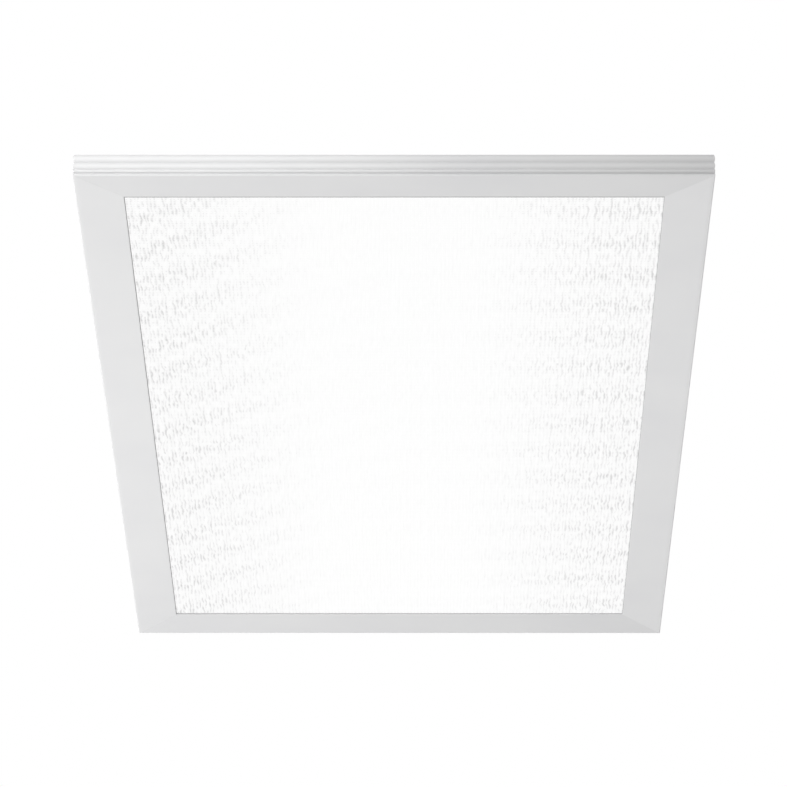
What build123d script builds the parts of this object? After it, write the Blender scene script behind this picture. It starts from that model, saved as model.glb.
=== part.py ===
from build123d import *
import os

# Recessed troffer light, millimetres. It lies face down as it hangs: the light leaves towards -Z.
# X is the short way, Y the long way, and the near end of the photograph is at -Y.
# Z = 0 is the plane of the frame's outer rim, which rests on the ceiling grid.

# ------------------------------------------------------------------ driving dimensions
panel_width = 603.0
panel_length = 1213.0
side_bar_width = 45.0
end_bar_width = 52.5

# frame section, u inwards from the outer face
frame_height = 22.0
rim_chamfer = 0.9
rim_land = 2.6                # flat strip of the face that rests on the grid
face_rise = 3.0               # the face is this much higher at its inner edge
lip_thickness = 1.7           # of the face's inner edge, under the lens
skin_thickness = 1.9
wall_inner = 2.2              # inner side of the ribbed outer wall
rib_depth = 1.2
rib_joints = (14.1, 6.9)      # heights of the two valleys between the three ribs
groove_heights = (1.2, 3.1)   # groove between the lowest rib and the rim
groove_depth = 1.4
channel_web = (14.0, 15.5)    # inner wall of the corner-key channel
shelf = (18.6, 20.2)          # wall over the channel, which carries the back pan
web_thickness = 1.5
ledge_width = 14.4            # the lens lies on this much of the frame
mitre_gap = 0.05              # hairline at each bar's end

# sheets on the ledge
lens_thickness = 2.8
lens_clearance = 0.6
diffuser_thickness = 1.0
foam_thickness = 3.0
foam_width = 7.0
strip_thickness = 1.0
strip_reach = 9.0
strip_height = 7.0

# back pan
sheet = 0.9
pan_top = 42.0
pan_rim_clearance = 0.4
pan_wall_start = 14.0         # inwards of the ledge edge, where the pan's wall leaves the rim
pan_wall_run = (40.0, 36.0)   # how far the sloped wall runs inwards, at the sides and at the ends
bead_width = 12.0
bead_height = 2.0
bead_x = 140.0
bead_spans = ((-500.0, -60.0), (130.0, 500.0))
reflector_thickness = 0.6
reflector_gap = 0.05          # glue line between a reflector and the pan

# light boards
board_rows = 15
board_pitch = 74.5
board_size = (452.0, 16.0, 1.6)
emitter_size = (396.0, 3.0, 0.8)      # a continuous phosphor line along each board
optic_length = 400.0
optic_half_width = 5.5
optic_height = 5.0
optic_groove = (2.2, 1.4)             # half width and depth of its groove over the emitter
connector_size = (9.0, 8.0, 5.0)
connector_x = -209.5
connector_port = 2.2          # each port's distance from the connector's middle
lead_z = 36.8
jumper_radius = 1.3
board_screw_x = (-221.0, 221.0)

# driver box on the back
box_x = (-150.0, 150.0)
box_y = (5.25, 69.25)
box_z = (pan_top, 79.7)
box_sheet = 1.0
box_mid_y = sum(box_y) / 2
bay_split = 50.0
flange_reach = 15.0
lid_z = (80.0, 81.0)
lip_gap = 0.25
lip_depth = 10.0
conduit_radius = 11.1
conduit_z = 61.0
knockout_x = 102.0
knockout_groove = 0.6
grommet_x = -134.0
grommet_hole = 5.0
grommet_flange = (2.0, 1.2)   # how far its flanges reach past the hole, and their thickness
ground_screw_at = (125.0, 20.0)
ground_hex = (4.2, 3.0)       # radius and height of its head
cover_screw_x = (-128.0, 28.0)
cover_screw_z = 74.5
partition_foot = 8.0
door_side_lip = 6.5
finger_tab = (12.0, 5.0)      # half width and reach

# door hinge
pin_y = 72.6
pin_z = 79.5
pin_radius = 1.5
pin_head = (1.2, 2.3)         # thickness and radius
knuckle_radius = 3.0
running_clearance = 0.05
base_knuckles = ((54.0, 66.0), (134.0, 146.0))
door_knuckle = (66.4, 133.6)

# driver
driver_x = (-118.0, 38.0)
driver_y = (16.25, 58.25)
driver_z = (43.0, 71.5)
driver_wall = 1.2
driver_floor = 1.5
driver_board_z = (50.0, 51.6)
driver_standoff = 2.5         # radius of the four posts under the board
driver_fillet = 3.0
transformer_x = (-52.0, -24.0)
transformer_core_x = (-41.0, -35.0)
transformer_half_depth = 13.0
transformer_height = 16.0
transformer_flange = 5.0
winding_radius = 5.8
capacitors = ((12.0, 6.0, 6.0), (-4.0, 6.0, 6.0), (-80.0, -4.0, 5.0))  # x, y from the middle, radius
capacitor_height = 16.0
output_z = 52.8
output_lead_radius = 1.2
output_bore = 1.7
output_bend = 5.0

# supply terminals
terminal_x = (62.0, 92.0)
terminal_y = (20.0, 40.0)
terminal_z = (43.0, 57.0)
pole_pitch = 10.0
lever_width = 8.0
lever_gap = 0.3
lever_pivot = (36.0, 53.0)    # y, z
lever_hub = 3.0
lever_tip_y = 21.0
lever_thickness = 2.6
port_radius = 2.5
port_depth = 9.0
port_z = 47.0
input_lead_rows = (48.0, 52.0, 56.0)
input_lead_radius = 1.2
input_bend = 4.5
lead_hole_play = 0.1
lead_grip = 4.0               # how far a supply lead reaches into the terminals
lever_axle = 1.0
lever_lip = (1.5, 0.8)        # length and rise of the lever's finger lip
lever_room = 0.5              # clearance round the lever's hub

# selector switches
selector_x = (-60.0, -30.0)
selector_y = 24.0
knob_size = (4.0, 3.0)
knob_travel = 4.0
knob_gap = 0.3
knob_rise = 2.0
slider_half_width = 2.7
slider_z = (75.0, 77.6)
switch_half = (8.0, 5.0)
switch_depth = 6.0

# grid clips, hanger brackets
clip_y = 380.0
clip_inset = 20.0
clip_half_width = 7.0
clip_sheet = 1.5
clip_lift = 0.15
clip_upright = 9.0
clip_reach = 40.0
clip_arm_z = 43.0
rivet_radius = 2.5
rivet_head = (2.0, 1.45)      # how far the head reaches past the shank, and its thickness
rivet_play = 0.15
clip_corner = 4.0
clip_hook = (3.0, 5.0)        # half width and drop of its turned-down end
hanger_at = (170.0, 484.25)
hanger_width = 16.0
hanger_height = 20.0
hanger_eye = 3.5
hanger_eye_drop = 8.0         # from the bracket's top
hanger_foot = (-9.0, 10.0)
hanger_corner = 5.0

# fixings
screw_hole = 1.6
large_hole = 2.1
recess_half_width = 0.4       # of a screw head's cross
cross = (1.4, 0.35)           # half length and half width of a key screw's cross
key_screw = (1.95, 3.75, 1.6) # shank radius, head radius, head height
key_hole = 2.2
key_bore = (2.05, 9.0)
pan_screw_inset = 9.0
side_screw_y = (-450.0, -300.0, -150.0, 0.0, 150.0, 300.0, 450.0)
end_screw_x = (-150.0, 0.0, 150.0)
side_strip_y = (-440.0, -220.0, 0.0, 220.0, 440.0)
end_strip_x = (-180.0, 0.0, 180.0)
strip_screw_z = 15.8
key_leg = 60.0
key_inset = (2.6, 11.8)
key_z = (5.0, 18.5)
key_screw_at = (28.0, 48.0)
key_screw_inset = 7.2

half_width = panel_width / 2
half_length = panel_length / 2
ledge_z = face_rise + lip_thickness
lens_top = ledge_z + lens_thickness
diffuser_top = lens_top + diffuser_thickness
foam_top = diffuser_top + foam_thickness
pan_ceiling = pan_top - sheet
board_bottom = pan_ceiling - board_size[2]


# ------------------------------------------------------------------ helpers
def block(x, y, z):
    """A box between three pairs of limits."""
    size = (x[1] - x[0], y[1] - y[0], z[1] - z[0])
    corner = Location((x[0], y[0], z[0]))
    return Box(*size, align=(Align.MIN, Align.MIN, Align.MIN)).moved(corner)


def post(x, y, z, radius):
    """An upright cylinder between two heights."""
    lowest = (Align.CENTER, Align.CENTER, Align.MIN)
    return Cylinder(radius, z[1] - z[0], align=lowest).moved(Location((x, y, z[0])))


def rod(start, axis, length, radius):
    """A cylinder from a point along a direction."""
    return extrude(Plane(origin=start, z_dir=axis) * Circle(radius), amount=length)


def screw(head_radius, head_height, shank_radius, shank_length):
    """A cross-recessed pan-head screw, its head standing on z = 0 and its shank below."""
    head = post(0, 0, (0, head_height), head_radius)
    head = fillet(head.edges().sort_by(Axis.Z)[-1], 0.35 * head_height)
    slot = head_radius * 0.55
    depth = (head_height * 0.45, head_height + 0.1)
    arm = (-recess_half_width, recess_half_width)
    head -= block((-slot, slot), arm, depth)
    head -= block(arm, (-slot, slot), depth)
    shank = post(0, 0, (-shank_length, 0), shank_radius)
    return head + chamfer(shank.edges().sort_by(Axis.Z)[0], 0.4 * shank_radius)


def tube(points, radii, radius):
    """A lead: straight runs joined by tangent arcs."""
    path = FilletPolyline(*points, radius=radii)
    start = Plane(origin=path @ 0, z_dir=path % 0)
    return sweep(start * Circle(radius), path=path)


def save(name, *solids):
    shape = solids[0] if len(solids) == 1 else Compound(list(solids))
    export_step(shape, f"parts/{name}.step")


def side_frame(corner, run):
    """One side of the light: x runs along it, y points inwards, z up."""
    return Plane(origin=corner, x_dir=run, z_dir=(0, 0, 1)).location


side_frames = {
    "near": side_frame((-half_width, -half_length, 0), (1, 0, 0)),
    "far": side_frame((half_width, half_length, 0), (-1, 0, 0)),
    "left": side_frame((-half_width, half_length, 0), (0, -1, 0)),
    "right": side_frame((half_width, -half_length, 0), (0, 1, 0)),
}


def side_sizes(name):
    """A side's own bar width, its length, and the width of the bars at its ends."""
    if name in ("near", "far"):
        return end_bar_width, panel_width, side_bar_width
    return side_bar_width, panel_length, end_bar_width


def along(name, places):
    """Places along a side, counted from the middle, as distances from its start."""
    return [side_sizes(name)[1] / 2 + place for place in places]


# ------------------------------------------------------------------ frame
def frame_section(width):
    """Section of a bar in u (inwards) and z, as a face across the bar's run."""
    def face_z(u):
        start = rim_chamfer + rim_land
        return face_rise * max(0.0, u - start) / (width - start)

    web_out = width - ledge_width - web_thickness
    web_in = width - ledge_width
    top = shelf[1]
    inner = [
        (rim_chamfer, 0), (rim_chamfer + rim_land, 0), (width, face_rise), (width, ledge_z),
        (web_in, ledge_z), (web_in, top), (web_out, top), (web_out, face_z(web_out) + skin_thickness),
        (channel_web[1], face_z(channel_web[1]) + skin_thickness), (channel_web[1], top),
        (wall_inner, top), (wall_inner, frame_height), (rib_depth, frame_height),
    ]
    lower = [
        (rib_depth, groove_heights[1]), (groove_depth, groove_heights[1]),
        (groove_depth, groove_heights[0]), (0, groove_heights[0]), (0, rim_chamfer), (rim_chamfer, 0),
    ]
    heights = (frame_height,) + rib_joints + (groove_heights[1],)
    ribs = []
    for high, low in zip(heights, heights[1:]):
        ribs.append(ThreePointArc((rib_depth, high), (0, (high + low) / 2), (rib_depth, low)))
    outline = make_face(Curve() + [Polyline(*inner), *ribs, Polyline(*lower)])
    channel = make_face(Polyline(
        (wall_inner, face_z(wall_inner) + skin_thickness),
        (channel_web[0], face_z(channel_web[0]) + skin_thickness),
        (channel_web[0], shelf[0]), (wall_inner, shelf[0]), close=True))
    return outline - channel


def frame_bar(name):
    """A bar in its side's frame: the section run along x, cut to the corner joints, with its holes."""
    width, run, end_width = side_sizes(name)
    solid = extrude(Plane.YZ * frame_section(width), amount=run)
    lean = end_width / width
    out, deep = -3.0, width + 3.0
    plan = make_face(Polyline(
        (out * lean + mitre_gap, out), (run - out * lean - mitre_gap, out),
        (run - deep * lean - mitre_gap, deep), (deep * lean + mitre_gap, deep), close=True))
    solid &= extrude(plan, amount=frame_height)
    holes = []
    pan_places = end_screw_x if name in ("near", "far") else side_screw_y
    strip_places = end_strip_x if name in ("near", "far") else side_strip_y
    for w in along(name, pan_places):
        holes.append(post(w, pan_screw_inset, (shelf[0] - 1, shelf[1] + 1), screw_hole))
    for w in key_screw_at:
        for place in (w, run - w):
            holes.append(post(place, key_screw_inset, (shelf[0] - 1, shelf[1] + 1), key_hole))
            countersink = Cone(key_hole, key_screw[1] + 0.25, key_screw[2])
            holes.append(countersink.moved(Location((place, key_screw_inset, shelf[1] - key_screw[2] / 2))))
    for w in along(name, strip_places):
        start = (w, width - ledge_width - web_thickness - 1, strip_screw_z)
        holes.append(rod(start, (0, 1, 0), web_thickness + 2, screw_hole))
    return solid - holes


def corner_key():
    """An angle key with its outer corner at the frame's corner, legs along x and y."""
    reach = (key_inset[0], key_leg)
    legs = block(reach, key_inset, key_z) + block(key_inset, reach, key_z)
    radius, depth = key_bore
    for w in key_screw_at:
        legs -= post(w, key_screw_inset, (key_z[1] - depth, key_z[1] + 1), radius)
        legs -= post(key_screw_inset, w, (key_z[1] - depth, key_z[1] + 1), radius)
    return legs


def corner_fixings():
    """The four keys and the countersunk screws that hold them."""
    keys, screws = [], []
    radius, head_radius, head_height = key_screw
    shank = post(0, 0, (-key_bore[1] + 1, 0), radius)
    head = Cone(radius, head_radius, head_height).moved(Location((0, 0, -head_height / 2 - 0.05)))
    long, short = ((-size, size) for size in cross)
    countersunk = shank + head - block(long, short, (-0.9, 0.1))
    countersunk -= block(short, long, (-0.9, 0.1))
    corner_turns = {(-1, -1): 0, (1, -1): 90, (1, 1): 180, (-1, 1): 270}
    for (sx, sy), turn in corner_turns.items():
        place = Location((sx * half_width, sy * half_length, 0), (0, 0, turn))
        keys.append(corner_key().moved(place))
        for w in key_screw_at:
            for x, y in ((w, key_screw_inset), (key_screw_inset, w)):
                screws.append(countersunk.moved(place * Location((x, y, shelf[1] - 0.05))))
    save("corner_keys", *keys)
    save("corner_screws", *screws)


def frame():
    for name, place in side_frames.items():
        save(f"frame_bar_{name}", frame_bar(name).moved(place))
    corner_fixings()


# ------------------------------------------------------------------ lens, sheets and what holds them
def ledge_half(inset=0.0):
    """Half the plan of the pocket inside the ledge webs, drawn in by an inset."""
    return (half_width - side_bar_width + ledge_width - inset,
            half_length - end_bar_width + ledge_width - inset)


def optical_sheets():
    x, y = ledge_half(lens_clearance)
    save("prismatic_lens", block((-x, x), (-y, y), (ledge_z, lens_top)))
    x, y = ledge_half(lens_clearance + 0.5)
    save("diffuser_sheet", block((-x, x), (-y, y), (lens_top, diffuser_top)))
    foams = []
    for name, place in side_frames.items():
        width, run, end_width = side_sizes(name)
        near = width - ledge_width + lens_clearance + 0.5
        start = end_width - ledge_width + lens_clearance + 0.5
        if name in ("near", "far"):
            start += foam_width
        strip = block((start, run - start), (near, near + foam_width), (diffuser_top, foam_top))
        foams.append(strip.moved(place))
    save("lens_gaskets", *foams)


def retainers():
    """Four angle strips, screwed to the webs, whose lower leg presses the foam."""
    fixing = screw(2.5, 1.6, 1.45, 5.0)
    screws = []
    for name, place in side_frames.items():
        width, run, end_width = side_sizes(name)
        web = width - ledge_width
        is_end = name in ("near", "far")
        start = end_width - ledge_width + 0.3 + (strip_reach if is_end else 0.0)
        run_span = (start, run - start)
        strip = block(run_span, (web, web + strip_thickness), (foam_top, foam_top + strip_height))
        strip += block(run_span, (web, web + strip_reach), (foam_top, foam_top + strip_thickness))
        for w in along(name, end_strip_x if is_end else side_strip_y):
            strip -= rod((w, web - 1, strip_screw_z), (0, 1, 0), 3, screw_hole)
            turned = Location((w, web + strip_thickness, strip_screw_z), (-90, 0, 0))
            screws.append(fixing.moved(place * turned))
        save(f"lens_retainer_{name}", strip.moved(place))
    save("retainer_screws", *screws)


# ------------------------------------------------------------------ back pan
def pan_plan(z, run_in):
    """A rectangle of the pan's sloped wall, drawn in by a share of the wall's run."""
    x = half_width - side_bar_width + pan_wall_start - run_in * pan_wall_run[0]
    y = half_length - end_bar_width + pan_wall_start - run_in * pan_wall_run[1]
    return Plane.XY.offset(z) * Rectangle(2 * x, 2 * y)


def board_ys():
    return [(row - (board_rows - 1) / 2) * board_pitch for row in range(board_rows)]


def back_pan():
    rim_x = half_width - wall_inner - pan_rim_clearance
    rim_y = half_length - wall_inner - pan_rim_clearance
    low, high = shelf[1], pan_top
    body = block((-rim_x, rim_x), (-rim_y, rim_y), (low, low + sheet))
    body += loft([pan_plan(low + sheet, 0), pan_plan(high, 1)], ruled=True)
    for x in (-bead_x, bead_x):
        for start, stop in bead_spans:
            middle = Location((x, (start + stop) / 2, high - sheet / 2), (0, 0, 90))
            body += extrude(middle * SlotOverall(stop - start, bead_width), amount=bead_height + sheet / 2)
    inside = loft([pan_plan(low - 0.01, 0), pan_plan(high - sheet, 1)], ruled=True)
    body -= inside
    holes = []
    for x in (-bead_x, bead_x):
        for start, stop in bead_spans:
            middle = Location((x, (start + stop) / 2, high - sheet - 0.01), (0, 0, 90))
            slot = SlotOverall(stop - start - 2 * sheet, bead_width - 2 * sheet)
            holes.append(extrude(middle * slot, amount=bead_height))
    for name, place in side_frames.items():
        for w in along(name, end_screw_x if name in ("near", "far") else side_screw_y):
            holes.append(post(w, pan_screw_inset, (low - 1, low + 2), screw_hole).moved(place))
    for y in board_ys():
        holes += [post(x, y, (high - 2, high + 1), screw_hole) for x in board_screw_x]
    top_span = (high - 2, high + 1)
    for sx in (-1, 1):
        holes.append(post(sx * (box_x[1] + flange_reach / 2), box_mid_y, top_span, large_hole))
        for sy in (-1, 1):
            holes.append(post(sx * hanger_at[0], sy * hanger_at[1], top_span, large_hole))
            x = sx * (half_width - clip_inset)
            holes.append(post(x, sy * clip_y, (low - 1, low + 2), rivet_radius + 0.05))
    holes.append(post(grommet_x, box_mid_y, top_span, grommet_hole))
    holes.append(post(*ground_screw_at, top_span, large_hole))
    save("back_pan", body - holes)

    fixing = screw(2.8, 1.7, 1.5, 6.0)
    screws = []
    for name, place in side_frames.items():
        for w in along(name, end_screw_x if name in ("near", "far") else side_screw_y):
            screws.append(fixing.moved(place * Location((w, pan_screw_inset, low + sheet))))
    save("pan_screws", *screws)


def reflectors():
    """White sheets that lie on the inner side of the pan's four sloped walls."""
    x_low = half_width - side_bar_width + pan_wall_start
    y_low = half_length - end_bar_width + pan_wall_start
    x_high, y_high = x_low - pan_wall_run[0], y_low - pan_wall_run[1]
    z_low, z_high = shelf[1] - reflector_gap - 0.01, pan_ceiling - reflector_gap
    for name, sign in (("left", -1), ("right", 1)):
        outline = [(sign * x_low, -y_low + 2, z_low), (sign * x_low, y_low - 2, z_low),
                   (sign * x_high, y_high - 2, z_high), (sign * x_high, -y_high + 2, z_high)]
        save(f"reflector_{name}", reflector_sheet(outline))
    for name, sign in (("near", -1), ("far", 1)):
        outline = [(-x_low + 2, sign * y_low, z_low), (x_low - 2, sign * y_low, z_low),
                   (x_high - 2, sign * y_high, z_high), (-x_high + 2, sign * y_high, z_high)]
        save(f"reflector_{name}", reflector_sheet(outline))


def reflector_sheet(outline):
    """A sheet below a sloped four-sided outline, towards the inside of the light."""
    upper = Face(Wire.make_polygon(outline))
    normal = upper.normal_at()
    down = normal if normal.Z < 0 else -normal
    return extrude(upper, amount=reflector_thickness, dir=down)


# ------------------------------------------------------------------ light boards
def light_boards():
    board = Box(*board_size, align=(Align.CENTER, Align.CENTER, Align.MAX))
    board = board.moved(Location((0, 0, pan_ceiling)))
    for x in board_screw_x:
        board -= post(x, 0, (board_bottom - 1, pan_ceiling + 1), screw_hole)
    emitter = Box(*emitter_size, align=(Align.CENTER, Align.CENTER, Align.MAX))
    wide, high = optic_half_width, optic_height
    groove, deep = optic_groove
    profile = make_face([
        Polyline((-groove, 0), (-wide, 0), (-wide, -1.2)),
        ThreePointArc((-wide, -1.2), (0, -high), (wide, -1.2)),
        Polyline((wide, -1.2), (wide, 0), (groove, 0), (groove, -deep), (-groove, -deep), (-groove, 0))])
    optic = extrude(Plane.YZ * profile, amount=optic_length / 2, both=True)
    size = connector_size
    connector = Box(*size, align=(Align.CENTER, Align.CENTER, Align.MAX))
    connector = connector.moved(Location((0, 0, board_bottom)))
    for side in (-1, 1):
        connector -= rod((side * connector_port, -size[1], lead_z), (0, 1, 0), 2 * size[1],
                         jumper_radius + lead_hole_play)
    fixing = screw(2.6, 1.6, 1.5, 5.5).moved(Location((0, 0, 0), (180, 0, 0)))
    boards, emitters, optics, connectors, screws = [], [], [], [], []
    for y in board_ys():
        boards.append(board.moved(Location((0, y, 0))))
        emitters.append(emitter.moved(Location((0, y, board_bottom))))
        optics.append(optic.moved(Location((0, y, board_bottom))))
        connectors.append(connector.moved(Location((connector_x, y, 0))))
        screws += [fixing.moved(Location((x, y, board_bottom))) for x in board_screw_x]
    save("led_boards", *boards)
    save("led_emitters", *emitters)
    save("led_optics", *optics)
    save("board_connectors", *connectors)
    save("board_screws", *screws)

    jumpers = []
    x = connector_x - connector_port
    for y, following in zip(board_ys(), board_ys()[1:]):
        start, stop = y + 1.0, following - 1.0
        jumpers.append(rod((x, start, lead_z), (0, 1, 0), stop - start, jumper_radius))
    save("jumper_leads", *jumpers)


# ------------------------------------------------------------------ driver box
def driver_box():
    """A folded tray with two end plates welded in, a partition and what passes its floor."""
    t = box_sheet
    floor_span = (box_z[0] - 1, box_z[0] + t + 1)
    inside_x = (box_x[0] + t, box_x[1] - t)
    inside_y = (box_y[0] + t, box_y[1] - t)
    body = block(box_x, box_y, box_z)
    body -= block((box_x[0] - 1, box_x[1] + 1), inside_y, (box_z[0] + t, box_z[1] + 1))
    for sign in (-1, 1):
        edge = sign * box_x[1]
        reach = tuple(sorted((edge, edge + sign * flange_reach)))
        body += block(reach, box_y, (box_z[0], box_z[0] + t))
        body -= post(edge + sign * flange_reach / 2, box_mid_y, floor_span, large_hole)
    for x in base_knuckles:
        body += rod((x[0], pin_y, pin_z), (1, 0, 0), x[1] - x[0], knuckle_radius)
        body += block(x, (box_y[1] - 0.5, pin_y), (pin_z - knuckle_radius, pin_z))
        body -= rod((x[0] - 1, pin_y, pin_z), (1, 0, 0), x[1] - x[0] + 2, pin_radius)
    ring = Circle(conduit_radius) - Circle(conduit_radius - 1.0)
    for y, direction in ((box_y[0], 1), (box_y[1], -1)):
        start = Plane(origin=(knockout_x, y, conduit_z), z_dir=(0, direction, 0))
        body -= extrude(start * ring, amount=knockout_groove)
    body -= post(grommet_x, box_mid_y, floor_span, grommet_hole)
    body -= post(*ground_screw_at, floor_span, large_hole)
    for x, y, direction in cover_screw_places():
        body -= rod((x, y - 3 * direction, cover_screw_z), (0, direction, 0), 6, screw_hole)
    save("driver_box", body)

    for name, outer, inner in (("left", box_x[0], inside_x[0]), ("right", box_x[1], inside_x[1])):
        plate = block(sorted((outer, inner)), inside_y, (box_z[0] + t, box_z[1]))
        if name == "right":
            plate -= rod((inner - 2, box_mid_y, conduit_z), (1, 0, 0), 5, conduit_radius)
        save(f"box_end_{name}", plate)

    across = (inside_y[0] + 0.1, inside_y[1] - 0.1)
    wall = block((bay_split, bay_split + t), across, (box_z[0] + t, box_z[1] - 0.5))
    foot = block((bay_split - partition_foot, bay_split), across, (box_z[0] + t, box_z[0] + 2 * t))
    notch_y = (input_lead_rows[0] - lead_grip, input_lead_rows[2] + lead_grip)
    notch_x = (bay_split - partition_foot - 1, bay_split + t + 1)
    notch = block(notch_x, notch_y, (box_z[0], port_z + lead_grip))
    save("box_partition", wall + foot - notch)

    flange_screw = screw(3.6, 2.2, 2.0, 5.0)
    places = [(sign * (box_x[1] + flange_reach / 2), box_mid_y) for sign in (-1, 1)]
    save("box_screws", *[flange_screw.moved(Location((x, y, box_z[0] + t))) for x, y in places])

    reach, thick = grommet_flange
    grommet = post(0, 0, (pan_ceiling, box_z[0] + t), grommet_hole - 0.1)
    grommet += post(0, 0, (box_z[0] + t, box_z[0] + t + thick), grommet_hole + reach)
    grommet += post(0, 0, (pan_ceiling - thick, pan_ceiling), grommet_hole + reach)
    grommet -= post(0, 0, (pan_ceiling - 3, box_z[0] + 5), output_bore)
    save("wire_grommet", grommet.moved(Location((grommet_x, box_mid_y, 0))))

    radius, height = ground_hex
    hex_head = extrude(RegularPolygon(radius, 6), amount=height)
    hex_head -= block((-radius, radius), (-0.5, 0.5), (0.6 * height, height + 1))
    ground = hex_head + post(0, 0, (-5.0, 0), 2.0)
    save("ground_screw", ground.moved(Location((*ground_screw_at, box_z[0] + t))))


def cover_screw_places():
    """Where the bay cover is screwed to the box: x, the wall's outer y, and the way outwards."""
    sides = ((box_y[0], -1), (box_y[1], 1))
    return [(x, y, direction) for x in cover_screw_x for y, direction in sides]


def bay_cover():
    """The fixed lid over the driver, with a lip down each outer side and two slots for the selectors."""
    t = box_sheet
    x = (box_x[0] - lip_gap - t, bay_split - 0.5)
    y = (box_y[0] - lip_gap - t, box_y[1] + lip_gap + t)
    cover = block(x, y, lid_z)
    low = (lid_z[1] - lip_depth, lid_z[1])
    cover += block(x, (y[0], y[0] + t), low) + block(x, (y[1] - t, y[1]), low)
    cover += block((x[0], x[0] + t), y, low)
    for slot_x in selector_x:
        half_x, half_y = (size / 2 + knob_gap for size in knob_size)
        cover -= block((slot_x - half_x, slot_x + half_x + knob_travel),
                       (selector_y - half_y, selector_y + half_y), (lid_z[0] - 1, lid_z[1] + 1))
    fixing = screw(2.8, 1.7, 1.5, 4.5)
    screws = []
    for sx, sy, direction in cover_screw_places():
        cover -= rod((sx, sy - direction, cover_screw_z), (0, direction, 0), 4, screw_hole)
        outer = sy + direction * (lip_gap + t)
        turned = Location((sx, outer, cover_screw_z), (-90 * direction, 0, 0))
        screws.append(fixing.moved(turned))
    save("driver_bay_cover", cover)
    save("cover_screws", *screws)


def wiring_door():
    """The hinged lid over the wiring bay, with a lip on its free edges and a curled finger tab."""
    t = box_sheet
    x = (bay_split + 0.5, box_x[1] + lip_gap + t)
    y = (box_y[0] - lip_gap - t, box_y[1] - 0.25)
    low = (lid_z[1] - lip_depth, lid_z[1])
    door = block(x, y, lid_z)
    door += block(x, (y[0], y[0] + t), low)
    door += block((x[1] - t, x[1]), y, (lid_z[1] - door_side_lip, lid_z[1]))
    middle = sum(x) / 2
    half, reach = finger_tab
    door += block((middle - half, middle + half), (y[0] - reach, y[0] + t), (low[0], low[0] + t))
    door += block(door_knuckle, (y[1] - 1, pin_y), lid_z)
    length = door_knuckle[1] - door_knuckle[0]
    door += rod((door_knuckle[0], pin_y, pin_z), (1, 0, 0), length, knuckle_radius)
    door -= rod((door_knuckle[0] - 1, pin_y, pin_z), (1, 0, 0), length + 2, pin_radius + running_clearance)
    save("wiring_door", door)

    start, stop = base_knuckles[0][0], base_knuckles[1][1]
    pin = rod((start, pin_y, pin_z), (1, 0, 0), stop - start, pin_radius)
    for end, direction in ((start, -1), (stop, 1)):
        pin += rod((end, pin_y, pin_z), (direction, 0, 0), pin_head[0], pin_head[1])
    save("hinge_pin", pin)


# ------------------------------------------------------------------ driver
def driver():
    floor = (driver_z[0], driver_z[0] + driver_floor)
    base = block(driver_x, driver_y, floor)
    for x in (driver_x[0] + 10, driver_x[1] - 10):
        for y in (driver_y[0] + 6, driver_y[1] - 6):
            base += post(x, y, (floor[0], driver_board_z[0]), driver_standoff)
    save("driver_base", base)

    t = driver_wall
    cover = block(driver_x, driver_y, (floor[1], driver_z[1]))
    cover = fillet(cover.edges().filter_by(Axis.X).sort_by(Axis.Z)[-2:], driver_fillet)
    inside_x = (driver_x[0] + t, driver_x[1] - t)
    inside_y = (driver_y[0] + t, driver_y[1] - t)
    cover -= block(inside_x, inside_y, (floor[1] - 1, driver_z[1] - t))
    for y in input_lead_rows:
        cover -= rod((driver_x[1] - 3, y, port_z), (1, 0, 0), 5, input_lead_radius + lead_hole_play)
    cover -= rod((driver_x[0] - 2, box_mid_y, output_z), (1, 0, 0), 5, output_bore)
    save("driver_cover", cover)

    board_x = (driver_x[0] + 4, driver_x[1] - 4)
    board_y = (driver_y[0] + 3, driver_y[1] - 3)
    save("driver_board", block(board_x, board_y, driver_board_z))

    low = driver_board_z[1]
    middle_y = sum(driver_y) / 2
    depth = (middle_y - transformer_half_depth, middle_y + transformer_half_depth)
    high = low + transformer_height
    core = block(transformer_x, depth, (low, low + transformer_flange))
    core += block(transformer_x, depth, (high - transformer_flange, high))
    core += block(transformer_core_x, depth, (low, high))
    start = (transformer_x[0] + 1, middle_y, (low + high) / 2)
    core += rod(start, (1, 0, 0), transformer_x[1] - transformer_x[0] - 2, winding_radius)
    save("driver_transformer", core)

    cans = []
    for x, from_middle, radius in capacitors:
        can = post(x, middle_y + from_middle, (low, low + capacitor_height), radius)
        cans.append(fillet(can.edges().sort_by(Axis.Z)[-1], 0.8))
    save("driver_capacitors", *cans)


def leads():
    """The leads inside the light, each held at both ends."""
    socket_x = connector_x + connector_port
    corner_y = board_ys()[board_rows // 2 + 1] - 1.0
    path = [(driver_x[0] + 0.5, box_mid_y, output_z), (grommet_x, box_mid_y, output_z),
            (grommet_x, box_mid_y, lead_z), (socket_x, box_mid_y, lead_z), (socket_x, corner_y, lead_z)]
    save("output_lead", tube(path, output_bend, output_lead_radius))
    tubes = []
    for x, y in zip(pole_xs(), input_lead_rows):
        path = [(driver_x[1] - 0.5, y, port_z), (x, y, port_z), (x, terminal_y[1] - lead_grip, port_z)]
        tubes.append(tube(path, input_bend, input_lead_radius))
    save("input_leads", *tubes)


# ------------------------------------------------------------------ supply terminals
def pole_xs():
    return [terminal_x[0] + pole_pitch * (pole + 0.5) for pole in range(3)]


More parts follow.
